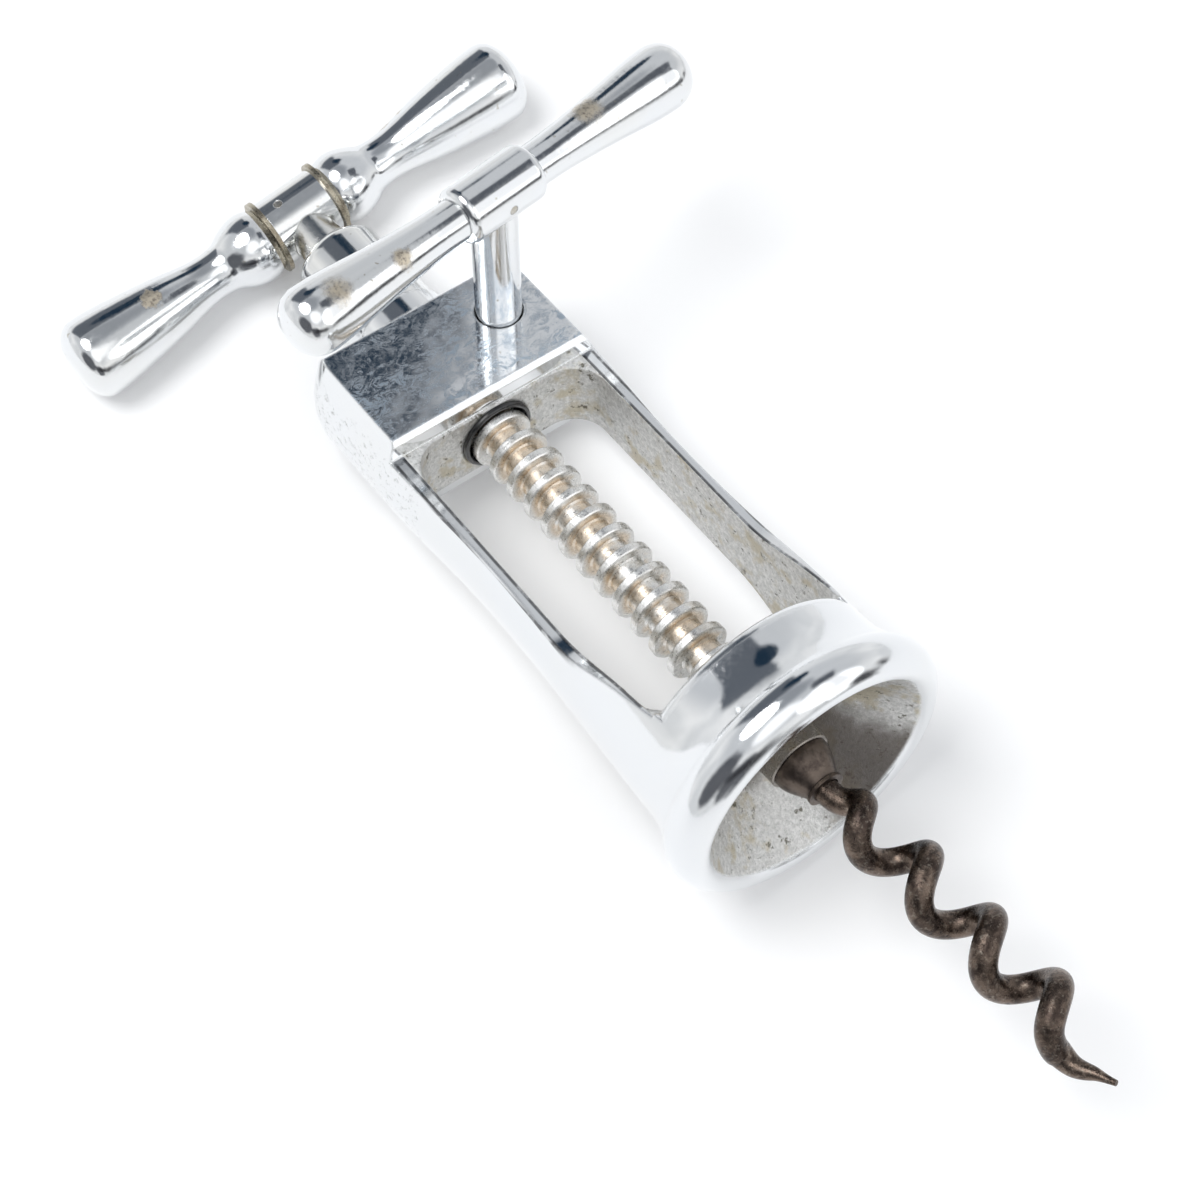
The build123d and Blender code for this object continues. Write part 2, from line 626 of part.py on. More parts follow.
for side, sign in (("left", -1), ("right", 1)):
    with BuildPart() as handle_ring:
        with BuildSketch(handle_section.offset(sign * (HUB_HALF + 0.02))):
            Circle(RING_R)
            Circle(TIE_ROD_R + FIT, mode=Mode.SUBTRACT)
        extrude(amount=sign * HANDLE_RING_T)
    finish(handle_ring, f"handle_ring_{side}")

    with BuildPart() as handle_grip:
        with BuildSketch(handle_plane):
            with BuildLine():
                grip_end = sign * HANDLE_HALF
                grip_start = sign * (HUB_HALF + HANDLE_RING_T + 0.04)
                Polyline((grip_end, 0), (grip_start, 0), (grip_start, 4.3))
                Spline(
                    (grip_start, 4.3),
                    (sign * 8.2, SHOULDER_R),
                    (sign * 11.2, 3.9),
                    (sign * 13.6, HANDLE_NECK_R),
                    tangents=((sign, 0.7), (sign, -0.05)),
                )
                Spline(
                    (sign * 13.6, HANDLE_NECK_R),
                    (sign * 20.0, 4.1),
                    (sign * 27.0, 5.2),
                    (sign * (HANDLE_HALF - 3.4), HANDLE_GRIP_R),
                    tangents=((sign, -0.05), (sign, 0.02)),
                )
                Spline(
                    (sign * (HANDLE_HALF - 3.4), HANDLE_GRIP_R),
                    (sign * (HANDLE_HALF - 0.9), 4.4),
                    (grip_end, 0),
                    tangents=((sign, 0.02), (0, -1)),
                )
            make_face()
        revolve(axis=handle_axis)
        with BuildSketch(handle_section):
            Circle(TIE_ROD_R + FIT)
        extrude(amount=sign * (TIE_ROD_HALF + 0.2), mode=Mode.SUBTRACT)
    finish(handle_grip, f"handle_grip_{side}")


# ---------------------------------------------------------------- ferrule and worm
with BuildPart() as worm_ferrule:
    with BuildSketch(Plane.XY):
        with BuildLine():
            Polyline(
                (BAR_LOW_X + FIT, WIRE_R + WIRE_CLEARANCE),
                (BAR_LOW_X + FIT, FERRULE_BIG_R),
                (BAR_LOW_X + 0.6, FERRULE_BIG_R),
            )
            Spline(
                (BAR_LOW_X + 0.6, FERRULE_BIG_R),
                (-1.2, 3.05),
                (FERRULE_LOW_X - 0.6, FERRULE_SMALL_R),
                tangents=((1, -0.2), (1, -0.35)),
            )
            Polyline(
                (FERRULE_LOW_X - 0.6, FERRULE_SMALL_R),
                (FERRULE_LOW_X - 0.45, FERRULE_SMALL_R + 0.2),
                (FERRULE_LOW_X, FERRULE_SMALL_R + 0.2),
                (FERRULE_LOW_X, WIRE_R + WIRE_CLEARANCE),
                (BAR_LOW_X + FIT, WIRE_R + WIRE_CLEARANCE),
            )
        make_face()
    revolve(axis=Axis.X)
finish(worm_ferrule, "worm_ferrule")


def smooth(value):
    """0 below 0, 1 above 1, with level ends."""
    value = min(max(value, 0.0), 1.0)
    return value * value * (3 - 2 * value)


def worm_centre(x):
    """The wire's centre: in line in the ferrule, then a right-handed helix that leans a little."""
    swing = smooth((x - WORM_LEAD_X) / (WORM_FULL_X - WORM_LEAD_X))
    angle = math.radians(WORM_PHASE + 360 / WORM_PITCH * (x - WORM_PHASE_X))
    lean = WORM_ASIDE + WORM_LEAN * x
    across = swing * (0.92 * lean + WORM_R * math.cos(angle))
    above = swing * (0.38 * lean + WORM_R * math.sin(angle))
    return Vector(x, across, above)


def worm_heading(x):
    """The direction the wire runs in."""
    return (worm_centre(x + 0.01) - worm_centre(x - 0.01)).normalized()


helix_start = WORM_LEAD_X + 0.5
helix_steps = round((WORM_TAPER_X - helix_start) / WORM_PITCH * WORM_POINTS_PER_TURN)
shank_points = [Vector(x, 0, 0) for x in (WORM_SHANK_X, -10, -6, -2)]
helix_points = []
for step in range(helix_steps + 1):
    helix_points.append(worm_centre(helix_start + (WORM_TAPER_X - helix_start) * step / helix_steps))

with BuildPart() as coil:
    with BuildLine() as coil_path:
        coil_line = Spline(*shank_points, *helix_points, tangents=((1, 0, 0), worm_heading(WORM_TAPER_X)))
    with BuildSketch(Plane(origin=coil_line @ 0, x_dir=(0, 1, 0), z_dir=coil_line % 0)):
        Circle(WIRE_R)
    sweep(path=coil_line)

with BuildLine() as tip_path:
    tip_line = Spline(
        helix_points[-1],
        *WORM_TIP_PATH,
        tangents=(worm_heading(WORM_TAPER_X), WORM_TIP_HEADING),
    )

# The tapered point starts on the coil's end face, so the two close to one skin.
# The last circle's seam is in line with the first one's, so the point doesn't twist.
coil_end = coil.faces().sort_by_distance(helix_points[-1])[0]
seam = coil_end.outer_wire().edges()[0].position_at(0) - helix_points[-1]
tip_heading = tip_line % 1
tip_seam = seam - tip_heading * seam.dot(tip_heading)
with BuildSketch(Plane(origin=tip_line @ 1, x_dir=tip_seam, z_dir=tip_heading)) as tip_end:
    Circle(WORM_TIP_R)
tip_sections = [coil_end, tip_end.sketch.faces()[0]]
point = sweep(sections=tip_sections, path=tip_line.edges()[0], multisection=True)
skin = [face for face in coil.faces() + point.faces() if (face.center() - coil_end.center()).length > FIT]

with BuildPart() as worm:
    add(Solid(Shell(skin)))
finish(worm, "worm")
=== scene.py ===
import math

import bpy
from mathutils import Matrix, Vector

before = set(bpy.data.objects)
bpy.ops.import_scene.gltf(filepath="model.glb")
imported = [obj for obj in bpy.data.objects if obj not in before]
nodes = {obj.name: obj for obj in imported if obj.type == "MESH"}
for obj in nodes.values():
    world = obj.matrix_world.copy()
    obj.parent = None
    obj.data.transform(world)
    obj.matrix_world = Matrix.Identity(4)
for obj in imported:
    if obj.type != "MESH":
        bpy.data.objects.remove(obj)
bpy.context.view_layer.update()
MM = 0.001


# ---------------------------------------------------------------- node helpers
class Nodes:
    """Short calls that add nodes to a material or a world, all working from one kind of place."""

    def __init__(self, owner, place):
        owner.use_nodes = True
        self.tree = owner.node_tree
        self.tree.nodes.clear()
        self.place = self.add("ShaderNodeTexCoord").outputs[place]

    def add(self, kind):
        return self.tree.nodes.new(kind)

    def link(self, source, target):
        self.tree.links.new(source, target)

    def put(self, value, socket):
        """Links a node's output to the socket, or sets a plain value on it."""
        if hasattr(value, "is_output"):
            self.link(value, socket)
        else:
            socket.default_value = value

    def math(self, kind, a, b=0.0):
        node = self.add("ShaderNodeMath")
        node.operation = kind
        self.put(a, node.inputs[0])
        self.put(b, node.inputs[1])
        return node.outputs[0]

    def plus(self, a, b):
        return self.math("ADD", a, b)

    def times(self, first, *others):
        """The product of two or more values."""
        product = first
        for value in others:
            product = self.math("MULTIPLY", product, value)
        return product

    def between(self, value, low, high):
        """1 where value lies between low and high, 0 elsewhere."""
        return self.times(self.math("GREATER_THAN", value, low), self.math("LESS_THAN", value, high))

    def noise(self, scale, detail, rough, stretch=(1, 1, 1), distort=0.0, offset=(0, 0, 0)):
        """Noise, with scale in cells per millimetre of place."""
        mapping = self.add("ShaderNodeMapping")
        mapping.inputs["Scale"].default_value = Vector(stretch) * (scale / MM)
        mapping.inputs["Location"].default_value = offset
        self.link(self.place, mapping.inputs["Vector"])
        node = self.add("ShaderNodeTexNoise")
        node.inputs["Scale"].default_value = 1.0
        node.inputs["Detail"].default_value = detail
        node.inputs["Roughness"].default_value = rough
        node.inputs["Distortion"].default_value = distort
        self.link(mapping.outputs["Vector"], node.inputs["Vector"])
        return node.outputs["Fac"]

    def span(self, value, low, high, to_low=0.0, to_high=1.0):
        """value from low..high mapped smoothly to to_low..to_high."""
        node = self.add("ShaderNodeMapRange")
        node.interpolation_type = "SMOOTHSTEP"
        self.put(value, node.inputs["Value"])
        node.inputs["From Min"].default_value = low
        node.inputs["From Max"].default_value = high
        node.inputs["To Min"].default_value = to_low
        node.inputs["To Max"].default_value = to_high
        return node.outputs["Result"]

    def strip(self, value, start, full, fading, end):
        """Rises from 0 at start to 1 at full, and falls again from fading to end."""
        return self.times(self.span(value, start, full), self.span(value, fading, end, 1.0, 0.0))

    def mix(self, factor, a, b):
        node = self.add("ShaderNodeMix")
        node.data_type = "RGBA"
        self.put(factor, node.inputs["Factor"])
        self.put(self.rgba(a), node.inputs["A"])
        self.put(self.rgba(b), node.inputs["B"])
        return node.outputs["Result"]

    @staticmethod
    def rgba(value):
        return value if hasattr(value, "is_output") else (*value, 1.0)

    def axes(self):
        node = self.add("ShaderNodeSeparateXYZ")
        self.link(self.place, node.inputs[0])
        return node.outputs[0], node.outputs[1], node.outputs[2]

    def length(self, a, b):
        """The distance from the axis that a and b are measured from."""
        return self.math("SQRT", self.plus(self.times(a, a), self.times(b, b)))


class Shader(Nodes):
    """The nodes of one material, which work from places on the object."""

    def __init__(self, name):
        self.material = bpy.data.materials.new(name)
        super().__init__(self.material, "Object")
        self.bsdf = self.add("ShaderNodeBsdfPrincipled")
        self.link(self.bsdf.outputs["BSDF"], self.add("ShaderNodeOutputMaterial").inputs["Surface"])

    def near(self, point, inner, outer, noise, spread):
        """1 within inner mm of a point and 0 beyond outer mm, once noise has added up to spread mm."""
        node = self.add("ShaderNodeVectorMath")
        node.operation = "DISTANCE"
        self.link(self.place, node.inputs[0])
        node.inputs[1].default_value = Vector(point) * MM
        distance = self.plus(node.outputs["Value"], self.times(noise, spread * MM))
        return self.span(distance, inner * MM, outer * MM, 1.0, 0.0)

    def bump(self, height, distance, strength=1.0, edge=0.0):
        """A bump of so many millimetres, over edges softened by a bevel of edge millimetres."""
        node = self.add("ShaderNodeBump")
        node.inputs["Distance"].default_value = distance * MM
        node.inputs["Strength"].default_value = strength
        self.put(height, node.inputs["Height"])
        if edge:
            bevel = self.add("ShaderNodeBevel")
            bevel.samples = 4
            bevel.inputs["Radius"].default_value = edge * MM
            self.link(bevel.outputs["Normal"], node.inputs["Normal"])
        return node.outputs["Normal"]

    def finish(self, colour, roughness, normal, metallic=1.0):
        """Feeds the surface and gives the material."""
        self.put(self.rgba(colour), self.bsdf.inputs["Base Color"])
        self.put(roughness, self.bsdf.inputs["Roughness"])
        self.put(metallic, self.bsdf.inputs["Metallic"])
        self.link(normal, self.bsdf.inputs["Normal"])
        return self.material


def paint(material, *names):
    """Gives the named pieces one material."""
    for name in names:
        mesh = nodes[name].data
        mesh.materials.clear()
        mesh.materials.append(material)


# Colours of the plating and of what shows through it
CHROME = (0.80, 0.815, 0.83)
CHROME_WARM = (0.80, 0.79, 0.74)
CHROME_GREY = (0.80, 0.80, 0.78)
SPECK_BROWN = (0.42, 0.38, 0.30)
WORN_TAN = (0.60, 0.52, 0.39)
WORN_BROWN = (0.21, 0.16, 0.11)


# ---------------------------------------------------------------- plated handles
def chrome(name, worn_spots=(), stain=0.25):
    """Bright plating with slight ripples, faint scratches, haze, specks and worn-through spots."""
    s = Shader(name)
    haze = s.noise(0.09, 3.0, 0.6)
    fine = s.noise(1.6, 4.0, 0.65)
    colour = s.mix(s.span(haze, 0.35, 0.75, 0.0, stain), CHROME, CHROME_WARM)
    specks = s.span(s.noise(1.1, 2.0, 0.5, offset=(7, 3, 1)), 0.70, 0.78, 0.0, 0.6)
    colour = s.mix(specks, colour, SPECK_BROWN)
    roughness = s.span(fine, 0.3, 0.8, 0.07, 0.17)
    roughness = s.plus(roughness, s.times(specks, 0.25))
    if worn_spots:
        ragged = s.noise(0.9, 4.0, 0.7)
        worn = 0.0
        for point, inner, outer in worn_spots:
            worn = s.math("MAXIMUM", worn, s.near(point, inner, outer, ragged, 2.4))
        brown = s.mix(s.span(s.noise(2.2, 3.0, 0.6), 0.45, 0.7), WORN_TAN, WORN_BROWN)
        colour = s.mix(s.times(worn, 0.85), colour, brown)
        roughness = s.plus(roughness, s.times(worn, 0.3))
    scratches = s.noise(2.5, 2.0, 0.5, (0.12, 2.2, 2.2), 0.6)
    ripple = s.noise(0.12, 2.0, 0.5)
    height = s.plus(s.times(scratches, 0.05), ripple)
    return s.finish(colour, roughness, s.bump(height, 0.12, 0.5, 0.25))


# ---------------------------------------------------------------- frame casting
# Where the casting's surfaces lie in the CAD frame
BELL_DEEP_X = -13.2 * MM
MOUTH_IN_R = 15.3 * MM
MOUTH_OUT_R = 15.7 * MM
WINDOW_LOW_X = -13.9 * MM
WINDOW_TOP_X = -64.4 * MM
WINDOW_HALF_W = 13.56 * MM
PILLAR_LOW_X = -16.0 * MM
PILLAR_TOP_X = -64.0 * MM
PILLAR_FACE_Z = 4.75 * MM
HEAD_LOW_X = -65.0 * MM
HEAD_FACE_Z = 7.85 * MM
PITS_LOW_X = -58.0 * MM
PITS_START_Y = 15.0 * MM
PITS_FULL_Y = 16.2 * MM
# Inside the bell, painted shade is full within one radius and gone beyond another, less up to a ragged
# part
DEEP_SHADE_FULL_R = 9.6 * MM
DEEP_SHADE_END_R = 12.0 * MM
DEEP_SHADE_RAGGED = 3.0 * MM
# Painted shade darkens one side of the bell's inside wall: the direction of its middle
SHADED_SIDE_Y = 0.74
SHADED_SIDE_Z = -0.67
# Dark lines along both edges of each pillar's flat face: start, full, fading and end
INNER_LINE = (13.45 * MM, 13.62 * MM, 13.80 * MM, 14.05 * MM)
OUTER_LINE = (14.75 * MM, 14.95 * MM, 15.10 * MM, 15.35 * MM)
# The outer line fades out between these two places, before it reaches the bell
OUTER_LINE_TOP_X = -31.0 * MM
OUTER_LINE_LOW_X = -25.0 * MM


def casting_wall(s, in_bell, radius, y, z, grain):
    """The colour of the rough walls: grey with tan stains and dark spots, with painted shade deep in
    the bell and on one side of its inside wall.
    """
    stains = s.noise(0.22, 4.0, 0.6, offset=(1, 5, 2))
    wall = s.mix(s.span(grain, 0.35, 0.7), (0.56, 0.56, 0.545), (0.90, 0.895, 0.88))
    wall = s.mix(s.span(stains, 0.5, 0.64, 0.0, 0.65), wall, (0.52, 0.45, 0.30))
    dark_spots = s.span(s.noise(0.6, 6.0, 0.75, offset=(4, 4, 4)), 0.585, 0.635)
    wall = s.mix(s.times(dark_spots, 0.85), wall, (0.10, 0.09, 0.06))
    # painted shade on one side of the bell's inside wall; toward is about 1 along the middle of the
    # shaded side
    toward = s.plus(s.times(y, SHADED_SIDE_Y), s.times(z, SHADED_SIDE_Z))
    toward = s.math("DIVIDE", toward, radius)
    toward = s.plus(toward, s.times(stains, 0.22))
    painted_side_shade = s.times(in_bell, s.span(toward, 0.90, 1.06, 0.0, 0.86))
    wall = s.mix(painted_side_shade, wall, (0.13, 0.11, 0.095))
    # painted shade deep in the bell: full near the middle, fading outwards with a ragged edge
    deep = s.plus(radius, s.times(stains, DEEP_SHADE_RAGGED))
    darkening = s.times(in_bell, s.span(deep, DEEP_SHADE_FULL_R, DEEP_SHADE_END_R, 0.85, 0.0))
    return s.mix(darkening, wall, (0.15, 0.13, 0.11))


def casting():
    """Plating on a casting: bright outside, rough in the bell and window, mottled on the head."""
    s = Shader("casting_chrome")
    x, y, z = s.axes()
    radius = s.length(y, z)
    side = s.math("ABSOLUTE", y)
    in_mouth = s.span(radius, MOUTH_IN_R, MOUTH_OUT_R, 1.0, 0.0)
    in_bell = s.times(s.math("GREATER_THAN", x, BELL_DEEP_X), in_mouth)
    in_window = s.between(x, WINDOW_TOP_X, WINDOW_LOW_X)
    in_window = s.times(in_window, s.math("LESS_THAN", side, WINDOW_HALF_W))
    rough_zone = s.math("MAXIMUM", in_bell, in_window)
    on_face = s.times(s.math("GREATER_THAN", z, HEAD_FACE_Z), s.math("LESS_THAN", x, HEAD_LOW_X))
    on_side = s.times(s.math("LESS_THAN", x, PITS_LOW_X), s.span(side, PITS_START_Y, PITS_FULL_Y))
    on_pillar = s.between(x, PILLAR_TOP_X, PILLAR_LOW_X)
    on_pillar = s.times(on_pillar, s.math("GREATER_THAN", s.math("ABSOLUTE", z), PILLAR_FACE_Z))

    haze = s.noise(0.07, 3.0, 0.6)
    fine = s.noise(1.7, 4.0, 0.65)
    colour = s.mix(s.span(haze, 0.35, 0.75, 0.0, 0.3), CHROME, CHROME_GREY)
    # the head's face is mottled
    mottle = s.noise(0.7, 7.0, 0.85, (1.0, 0.6, 1.0), 1.2)
    clouds = s.noise(0.16, 4.0, 0.65)
    dull = s.times(on_face, s.span(mottle, 0.46, 0.56), s.span(clouds, 0.35, 0.6, 0.25, 1.0))
    colour = s.mix(s.times(dull, 0.8), colour, (0.42, 0.52, 0.62))
    # the head's sides are pitted
    pits = s.times(s.span(s.noise(1.3, 5.0, 0.72, offset=(3, 1, 9)), 0.56, 0.68), on_side)
    colour = s.mix(s.times(pits, 0.4), colour, (0.40, 0.39, 0.35))
    # dark broken lines run along both edges of the pillars' flat faces
    inner_line = s.strip(side, *INNER_LINE)
    outer_line = s.strip(side, *OUTER_LINE)
    outer_line = s.times(outer_line, s.span(x, OUTER_LINE_TOP_X, OUTER_LINE_LOW_X, 1.0, 0.0))
    broken = s.span(s.noise(0.35, 4.0, 0.7, offset=(6, 1, 3)), 0.34, 0.52, 0.25, 0.9)
    lines = s.times(s.math("MAXIMUM", inner_line, outer_line), on_pillar, broken)
    colour = s.mix(lines, colour, (0.10, 0.10, 0.105))
    grain = s.noise(1.9, 6.0, 0.75)
    colour = s.mix(rough_zone, colour, casting_wall(s, in_bell, radius, y, z, grain))

    roughness = s.span(fine, 0.3, 0.8, 0.05, 0.14)
    roughness = s.plus(roughness, s.times(dull, 0.30))
    roughness = s.plus(roughness, s.times(pits, 0.3))
    roughness = s.plus(roughness, s.times(rough_zone, s.span(grain, 0.3, 0.7, 0.18, 0.38)))

    ripple = s.noise(0.10, 2.0, 0.5)
    height = s.plus(ripple, s.times(rough_zone, grain, 1.6))
    height = s.math("SUBTRACT", height, s.times(pits, 0.4))
    return s.finish(colour, roughness, s.bump(height, 0.16, 0.55, 0.5))


# ---------------------------------------------------------------- spindle, worm and small parts
GROOVE_LOW_R = 2.9 * MM
GROOVE_HIGH_R = 3.9 * MM
# Where the painted shade on the spindle's end in the bell starts and where it is full
END_SHADE_START_X = -13.0 * MM
END_SHADE_FULL_X = -9.0 * MM
STEM_LOW_X = -95.0 * MM


def spindle_steel():
    """Turned steel: bright rings, amber stain in the grooves, and painted shade on the end that sits
    in the bell.
    """
    s = Shader("spindle_steel")
    x, y, z = s.axes()
    groove = s.span(s.length(y, z), GROOVE_LOW_R, GROOVE_HIGH_R, 1.0, 0.0)
    blotch = s.noise(0.32, 5.0, 0.7)
    speck = s.noise(2.4, 4.0, 0.7)
    colour = s.mix(s.span(speck, 0.35, 0.7), (0.74, 0.735, 0.715), (0.93, 0.925, 0.91))
    colour = s.mix(s.span(blotch, 0.48, 0.7, 0.0, 0.5), colour, (0.55, 0.49, 0.40))
    amber = s.times(groove, s.span(s.noise(0.2, 3.0, 0.6, offset=(2, 8, 5)), 0.40, 0.58))
    colour = s.mix(s.times(amber, 0.6), colour, (0.74, 0.57, 0.38))
    darkening = s.times(groove, s.span(s.noise(1.0, 4.0, 0.7, offset=(9, 2, 3)), 0.58, 0.72))
    colour = s.mix(s.times(darkening, 0.6), colour, (0.22, 0.19, 0.15))
    # painted shade on the spindle's end inside the bell
    painted_end_shade = s.span(x, END_SHADE_START_X, END_SHADE_FULL_X, 0.0, 0.88)
    colour = s.mix(painted_end_shade, colour, (0.19, 0.165, 0.14))
    stem = s.math("LESS_THAN", x, STEM_LOW_X)
    colour = s.mix(stem, colour, CHROME_GREY)
    roughness = s.span(speck, 0.3, 0.75, 0.22, 0.42)
    roughness = s.math("SUBTRACT", roughness, s.times(stem, 0.16))
    turned = s.noise(3.0, 2.0, 0.5, (2.5, 0.25, 0.25))
    height = s.plus(s.times(turned, 0.5), speck)
    return s.finish(colour, roughness, s.bump(height, 0.05, 0.6, 0.12))


def worm_steel():
    """Dark brown steel with lighter streaks and specks, and dark pits."""
    s = Shader("worm_steel")
    streak = s.noise(0.35, 5.0, 0.7, distort=0.6)
    speck = s.noise(1.8, 5.0, 0.75)
    pit = s.span(s.noise(1.2, 4.0, 0.7, offset=(5, 2, 8)), 0.58, 0.68)
    colour = s.mix(s.span(streak, 0.38, 0.64), (0.046, 0.034, 0.029), (0.165, 0.125, 0.10))
    colour = s.mix(s.span(speck, 0.52, 0.75, 0.0, 0.5), colour, (0.50, 0.45, 0.38))
    colour = s.mix(s.times(pit, 0.8), colour, (0.03, 0.022, 0.02))
    roughness = s.span(speck, 0.3, 0.75, 0.17, 0.36)
    height = s.math("SUBTRACT", speck, s.times(pit, 0.7))
    return s.finish(colour, roughness, s.bump(height, 0.09, 0.7, 0.1))


def plain_metal(name, light, dark, rough=0.25):
    """Metal of one colour with darker blotches."""
    s = Shader(name)
    blotch = s.noise(0.6, 4.0, 0.65)
    fine = s.noise(3.0, 3.0, 0.6)
    colour = s.mix(s.span(blotch, 0.38, 0.66), light, dark)
    roughness = s.span(fine, 0.3, 0.7, rough, rough + 0.18)
    return s.finish(colour, roughness, s.bump(fine, 0.03, 0.6, 0.12))


def black_bush():
    """Glossy black with a little dust on it."""
    s = Shader("bush_black")
    fine = s.noise(2.0, 4.0, 0.6)
    dust = s.span(s.noise(1.0, 5.0, 0.7, offset=(2, 2, 7)), 0.58, 0.72)
    colour = s.mix(s.times(dust, 0.5), (0.006, 0.006, 0.007), (0.16, 0.14, 0.08))
    roughness = s.span(fine, 0.3, 0.7, 0.10, 0.28)
    s.bsdf.inputs["Coat Weight"].default_value = 0.6
    s.bsdf.inputs["Coat Roughness"].default_value = 0.08
    return s.finish(colour, roughness, s.bump(fine, 0.03, 0.5, 0.15), 0.0)


SMALL_STEEL_PARTS = (
    "collar_clip",
    "handle_tie_rod",
    "pinion_gear",
    "pinion_pin",
    "pinion_front_washer",
    "pinion_rear_washer",
    "lever_pin",
    "lever_stud_left",
    "lever_stud_right",
    "handle_dowel",
)
# Worn spots on the grips, in millimetres: a point on the surface, an inner and an outer radius
WORN_SPOTS = {
    "handle_grip_left": [((-109.2, -23.5, 0.6), 2.5, 3.0)],
    "handle_grip_right": [((-113.1, 15.9, 5.4), 1.7, 2.4), ((-112.6, 18.6, 6.2), 1.3, 1.9)],
    "lever_grip_left": [((-70.5, -7.1, 31.3), 2.0, 3.0), ((-70.0, -16.6, 32.5), 1.6, 3.8)],
    "lever_grip_right": [((-76.7, 23.9, 32.2), 2.1, 3.8)],
}

paint(casting(), "frame_casting")
paint(spindle_steel(), "spindle")
paint(worm_steel(), "worm")
paint(plain_metal("ferrule_steel", (0.15, 0.12, 0.10), (0.07, 0.055, 0.048), 0.28), "worm_ferrule")
paint(plain_metal("small_steel", (0.66, 0.65, 0.62), (0.46, 0.43, 0.37)), *SMALL_STEEL_PARTS)
# the bearing plug sits deep in the bell: its dark colours are painted shade
paint(plain_metal("plug_shaded_steel", (0.30, 0.28, 0.25), (0.15, 0.135, 0.115), 0.3), "bearing_plug")
brass = plain_metal("ring_brass", (0.47, 0.43, 0.34), (0.28, 0.24, 0.18), 0.22)
paint(brass, "handle_ring_left", "handle_ring_right")
paint(black_bush(), "upper_rack_bush", "lower_rack_bush")
for grip, spots in WORN_SPOTS.items():
    paint(chrome(f"{grip}_chrome", spots, 0.3), grip)
paint(chrome("hub_chrome", stain=0.5), "handle_hub")
paint(chrome("lever_hub_chrome"), "lever_hub", "pinion_shaft")
paint(chrome("collar_chrome", stain=0.5), "stop_collar")

# ---------------------------------------------------------------- floor
# The tool lies on its bell's lip and on the T-handle, so the floor touches both.
HANDLE_TURN = math.radians(10.3)
LIP_R = 19.3 * MM
LIP_X = -2.8 * MM
GRIP_R = 5.75 * MM
HANDLE_X = -110.1 * MM
FLOOR_R = 0.40
TOOL_MIDDLE = Vector((-0.03, 0.0, 0.0))
FLOOR_GLOW = 0.08
pitch = math.asin((LIP_R - GRIP_R) / (LIP_X - HANDLE_X))
floor_normal = Vector((
    math.sin(pitch),
    -math.sin(HANDLE_TURN) * math.cos(pitch),
    math.cos(HANDLE_TURN) * math.cos(pitch),
))
floor_height = floor_normal.x * (HANDLE_X - TOOL_MIDDLE.x) - GRIP_R


def floor_white():
    """Matt white, with a faint glow that lifts the shadows."""
    s = Shader("floor_white")
    cloud = s.noise(0.02, 3.0, 0.5)
    colour = s.mix(cloud, (0.93, 0.93, 0.93), (0.95, 0.95, 0.95))
    s.bsdf.inputs["Emission Color"].default_value = (1, 1, 1, 1)
    s.bsdf.inputs["Emission Strength"].default_value = FLOOR_GLOW
    return s.finish(colour, 0.6, s.bump(cloud, 0.01), 0.0)


bpy.ops.mesh.primitive_circle_add(vertices=96, radius=FLOOR_R, fill_type="NGON")
floor = bpy.context.active_object
floor.name = "floor"
floor.rotation_mode = "QUATERNION"
floor.rotation_quaternion = floor_normal.to_track_quat("Z", "Y")
floor.location = TOOL_MIDDLE + floor_normal * floor_height
floor.data.materials.append(floor_white())


# ---------------------------------------------------------------- light
def soft_light(name, place, size, power):
    """A round area light turned towards the tool's middle."""
    data = bpy.data.lights.new(name, "AREA")
    data.shape = "DISK"
    data.size = size
    data.energy = power
    lamp = bpy.data.objects.new(name, data)
    bpy.context.collection.objects.link(lamp)
    lamp.location = place
    lamp.rotation_mode = "QUATERNION"
    lamp.rotation_quaternion = (TOOL_MIDDLE - Vector(place)).to_track_quat("-Z", "Y")


soft_light("light_top", (-0.15, -0.35, 0.75), size=0.5, power=3.7)
soft_light("light_side", (0.55, 0.35, 0.45), size=0.7, power=1.2)

# Colours of the room that the plating reflects
ROOM_WHITE = (1.0, 1.0, 1.0)
ROOM_PALE = (0.76, 0.775, 0.79)
ROOM_GREY = (0.58, 0.60, 0.63)
ROOM_OVERHEAD = (0.28, 0.30, 0.33)
SOFTBOX = (1.30, 1.31, 1.33)
SLATE = (0.10, 0.115, 0.14)
NAVY = (0.012, 0.030, 0.055)
DARK_GREY = (0.08, 0.09, 0.11)
DARK_LOW = (0.06, 0.065, 0.08)
TABLE_EDGE = (0.035, 0.035, 0.04)


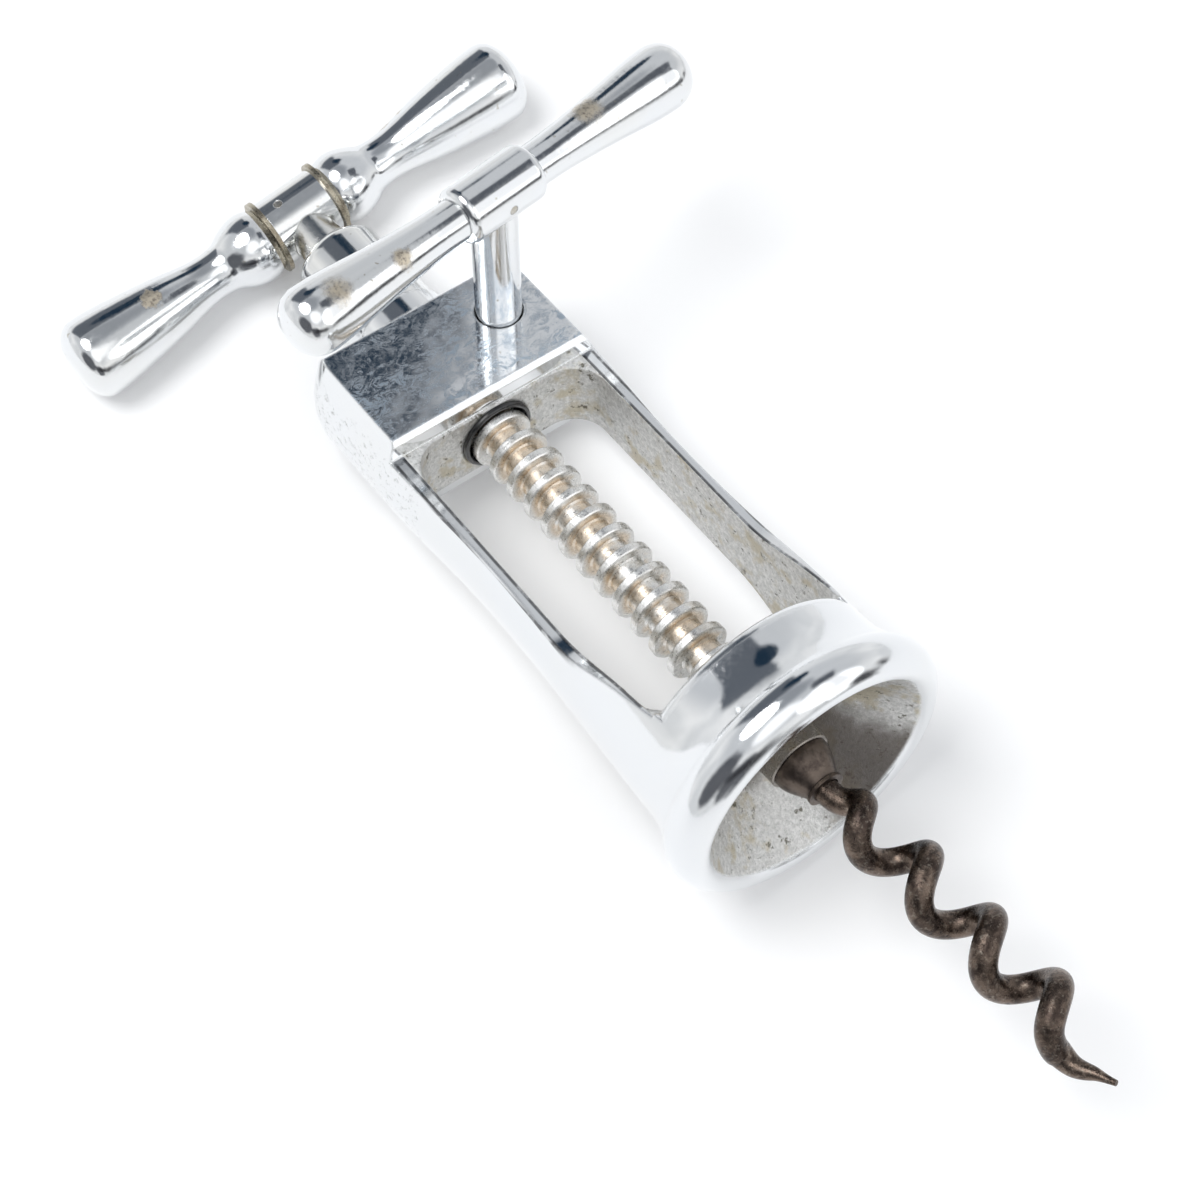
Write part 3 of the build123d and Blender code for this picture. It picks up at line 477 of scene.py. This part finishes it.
class Studio(Nodes):
    """The world's nodes. Their places are directions, so x, y and z run from -1 to 1 metre."""

    def __init__(self, name):
        self.world = bpy.data.worlds.new(name)
        super().__init__(self.world, "Generated")
        self.background = self.add("ShaderNodeBackground")
        self.link(self.background.outputs[0], self.add("ShaderNodeOutputWorld").inputs["Surface"])
        self.x, self.y, self.z = self.axes()
        self.broad = self.noise(0.0022, 3.0, 0.55)
        torn = self.noise(0.0075, 5.0, 0.7)
        tear = self.times(self.math("SUBTRACT", torn, 0.5), 0.5)
        self.wobble = self.plus(self.math("SUBTRACT", self.broad, 0.5), tear)

    def uneven(self, value, amount):
        """value with a ragged shift, so that what it bounds has an uneven edge."""
        return self.plus(value, self.times(self.wobble, amount))

    def patch(self, base, direction, inner, outer, tint, depth=1.0, tear=0.03):
        """A patch of another colour round a direction, full to inner degrees and gone at outer."""
        node = self.add("ShaderNodeVectorMath")
        node.operation = "DOT_PRODUCT"
        self.link(self.place, node.inputs[0])
        node.inputs[1].default_value = Vector(direction).normalized()
        facing = self.uneven(node.outputs["Value"], tear)
        edge = math.cos(math.radians(outer))
        full = math.cos(math.radians(inner))
        return self.mix(self.span(facing, edge, full, 0.0, depth), base, tint)

    def slab(self, base, x_range, y_range, tint):
        """A dark slab overhead, between two values of x and two of y."""
        across = self.uneven(self.x, 0.10)
        along = self.uneven(self.y, 0.16)
        amount = self.span(self.z, 0.25, 0.40)
        for value, (start, end) in ((across, x_range), (along, y_range)):
            amount = self.times(amount, self.strip(value, start, start + 0.06, end - 0.05, end))
        return self.mix(self.times(amount, 0.95), base, tint)


def light_room():
    """A white room, grey and uneven above, with a softbox, dark shapes and a broken line low down."""
    s = Studio("studio")
    colour = s.mix(s.span(s.broad, 0.35, 0.7), ROOM_PALE, ROOM_WHITE)
    colour = s.mix(s.span(s.uneven(s.z, 0.12), 0.30, 0.66, 0.0, 0.8), colour, ROOM_GREY)
    colour = s.patch(colour, (-0.12, -0.02, 0.99), 12, 27, ROOM_OVERHEAD, 0.9, 0.06)
    colour = s.patch(colour, (0.60, -0.22, 0.77), 15, 23, SOFTBOX)
    # dark shapes: beyond the head, overhead on the far side, and low on the near side
    colour = s.slab(colour, (-0.97, -0.43), (-0.42, 0.27), SLATE)
    colour = s.patch(colour, (-0.66, 0.22, 0.72), 8.3, 10.6, NAVY, 0.98, 0.004)
    colour = s.slab(colour, (0.00, 0.40), (0.24, 0.60), DARK_GREY)
    colour = s.slab(colour, (0.34, 0.88), (0.42, 0.64), DARK_GREY)
    colour = s.patch(colour, (0.32, -0.86, 0.24), 20, 27, DARK_LOW, 0.92, 0.1)
    colour = s.patch(colour, (0.84, -0.54, 0.02), 13, 18, DARK_LOW, 0.9, 0.1)
    # a broken dark line low down on one side, where a table would end
    band = s.strip(s.uneven(s.z, 0.14), -0.03, 0.02, 0.14, 0.26)
    broken = s.span(s.noise(0.0013, 2.0, 0.5, offset=(3, 0, 0)), 0.38, 0.52)
    band = s.times(band, broken, s.span(s.x, 0.25, 0.50))
    colour = s.mix(s.times(band, 0.94), colour, TABLE_EDGE)
    # behind the tool the camera sees plain white
    seen = s.add("ShaderNodeLightPath").outputs["Is Camera Ray"]
    s.link(s.mix(seen, colour, ROOM_WHITE), s.background.inputs["Color"])
    s.background.inputs["Strength"].default_value = 1.0
    bpy.context.scene.world = s.world


light_room()

# ---------------------------------------------------------------- camera
# Its place, directions and lens were fitted to the photograph.
CAMERA_LENS = 73.93
CAMERA_PLACE = (0.0992, -0.1054, 0.2442)
CAMERA_RIGHT = (0.5988, 0.8009, -0.0010)
CAMERA_UP = (-0.6593, 0.4936, 0.5671)
CAMERA_BACK = (0.4547, -0.3389, 0.8237)
camera_data = bpy.data.cameras.new("camera")
camera_data.lens = CAMERA_LENS
camera_data.sensor_width = 36.0
camera_data.clip_start = 0.01
camera_data.clip_end = 10.0
camera = bpy.data.objects.new("camera", camera_data)
bpy.context.collection.objects.link(camera)
turn = Matrix((CAMERA_RIGHT, CAMERA_UP, CAMERA_BACK)).transposed()
camera.matrix_world = Matrix.Translation(CAMERA_PLACE) @ turn.to_4x4()
bpy.context.scene.camera = camera
bpy.context.scene.view_settings.view_transform = "Standard"
